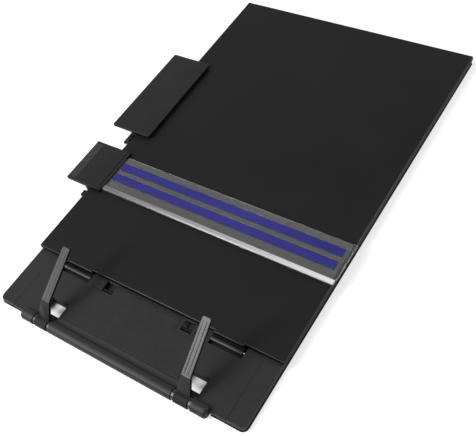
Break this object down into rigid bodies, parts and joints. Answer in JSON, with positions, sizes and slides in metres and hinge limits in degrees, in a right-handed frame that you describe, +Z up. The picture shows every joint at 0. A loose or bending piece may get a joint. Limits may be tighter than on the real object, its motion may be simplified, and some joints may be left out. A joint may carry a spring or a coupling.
{
  "type": "document holder",
  "caption": "Folding desk document holder lying closed, with a hinged board, pull-out ledge, two page arms, an edge clip and a sliding clear line guide.",
  "frame": {"origin": "middle of the footprint, on the desk", "axes": "+Y up the board from the ledge to its far edge, +X to the right of a reader at the ledge, +Z up from the desk"},
  "size_m": [0.2658, 0.3984, 0.0468],
  "materials": {
    "board_black": "fine satin grain",
    "ledge_black": "satin moulding",
    "grip_black": "ribbed satin moulding",
    "cover_black": "plain satin moulding",
    "clip_black": "satin moulding",
    "arm_plastic": "smooth moulding that mirrors the light",
    "rack_plastic": "satin moulding",
    "washer_acetal": "turned, smooth",
    "clear_acrylic": "clear",
    "blue_film": "translucent blue",
    "rubber": "matt",
    "pin_steel": "drawn",
    "spring_steel": "drawn wire",
    "screw_steel": "blackened"
  },
  "bodies": {
    "base": {"base_frame": "ledge_black", "bottom_cover": "cover_black", "cover_screws": "screw_steel", "rubber_feet": "rubber", "hinge_stubs": "pin_steel", "leg_racks": "rack_plastic", "left_latch_spring": "spring_steel", "right_latch_spring": "spring_steel"},
    "board": {"document_board": "board_black", "board_backing": "cover_black", "leg_brackets": "rack_plastic", "bracket_screws": "screw_steel", "leg_pin": "pin_steel"},
    "leg": {"prop_leg": "cover_black", "leg_foot": "rubber"},
    "ledge": {"ledge_tray": "ledge_black", "grip_plate": "grip_black", "arm_rod": "pin_steel", "bar_caps": "ledge_black", "arm_washers": "washer_acetal"},
    "left_arm": {"left_arm": "arm_plastic"},
    "right_arm": {"right_arm": "arm_plastic"},
    "left_latch": {"left_latch": "ledge_black", "left_latch_pin": "pin_steel"},
    "right_latch": {"right_latch": "ledge_black", "right_latch_pin": "pin_steel"},
    "clip": {"clip_carrier": "clip_black", "clip_pin": "pin_steel", "clip_spring": "spring_steel"},
    "clip_lever": {"clip_lever": "clip_black", "clip_pad": "rubber"},
    "guide_slider": {"slider_block": "clip_black", "slider_clamp": "clip_black", "slider_spring": "spring_steel", "slider_screws": "screw_steel", "guide_pin": "pin_steel"},
    "line_guide": {"guide_strip": "clear_acrylic", "guide_stripes": "blue_film", "guide_lens": "clear_acrylic", "guide_end_cap": "clear_acrylic"}
  },
  "joints": [
    {"name": "board_tilt", "type": "hinge", "parent": "base", "child": "board", "pos_m": [0.0117, -0.14413, 0.0047], "axis": [1, 0, 0], "range_deg": [0, 65]},
    {"name": "leg_fold", "type": "hinge", "parent": "board", "child": "leg", "pos_m": [0.0117, -0.00413, 0.0047], "axis": [-1, 0, 0], "range_deg": [0, 130]},
    {"name": "ledge_slide", "type": "slide", "parent": "base", "child": "ledge", "axis": [0, -1, 0], "range_m": [0, 0.025]},
    {"name": "left_arm_turn", "type": "hinge", "parent": "ledge", "child": "left_arm", "pos_m": [-0.0567, -0.19417, 0.0054], "axis": [1, 0, 0], "range_deg": [-28, 70]},
    {"name": "right_arm_turn", "type": "hinge", "parent": "ledge", "child": "right_arm", "pos_m": [0.0801, -0.19417, 0.0054], "axis": [1, 0, 0], "range_deg": [-32, 70]},
    {"name": "left_latch_squeeze", "type": "slide", "parent": "base", "child": "left_latch", "axis": [1, 0, 0], "range_m": [0, 0.007], "stiffness_N_per_m": 150, "deforming": ["left_latch_spring"]},
    {"name": "right_latch_squeeze", "type": "slide", "parent": "base", "child": "right_latch", "axis": [-1, 0, 0], "range_m": [0, 0.007], "stiffness_N_per_m": 150, "deforming": ["right_latch_spring"]},
    {"name": "clip_slide", "type": "slide", "parent": "board", "child": "clip", "axis": [0, 1, 0], "range_m": [-0.01, 0.09]},
    {"name": "clip_open", "type": "hinge", "parent": "clip", "child": "clip_lever", "pos_m": [-0.1147, 0.04793, 0.0096], "axis": [0, -1, 0], "range_deg": [0, 14], "stiffness_Nm_per_rad": 0.4, "deforming": ["clip_spring"]},
    {"name": "guide_slide", "type": "slide", "parent": "board", "child": "guide_slider", "axis": [0, 1, 0], "range_m": [-0.05, 0.012]},
    {"name": "guide_lift", "type": "hinge", "parent": "guide_slider", "child": "line_guide", "pos_m": [-0.0964, -0.04883, 0.012], "axis": [0, -1, 0], "range_deg": [0, 75]}
  ],
  "couplings": [
    {"joint": "leg_fold", "follows": "board_tilt", "ratio": 2}
  ]
}
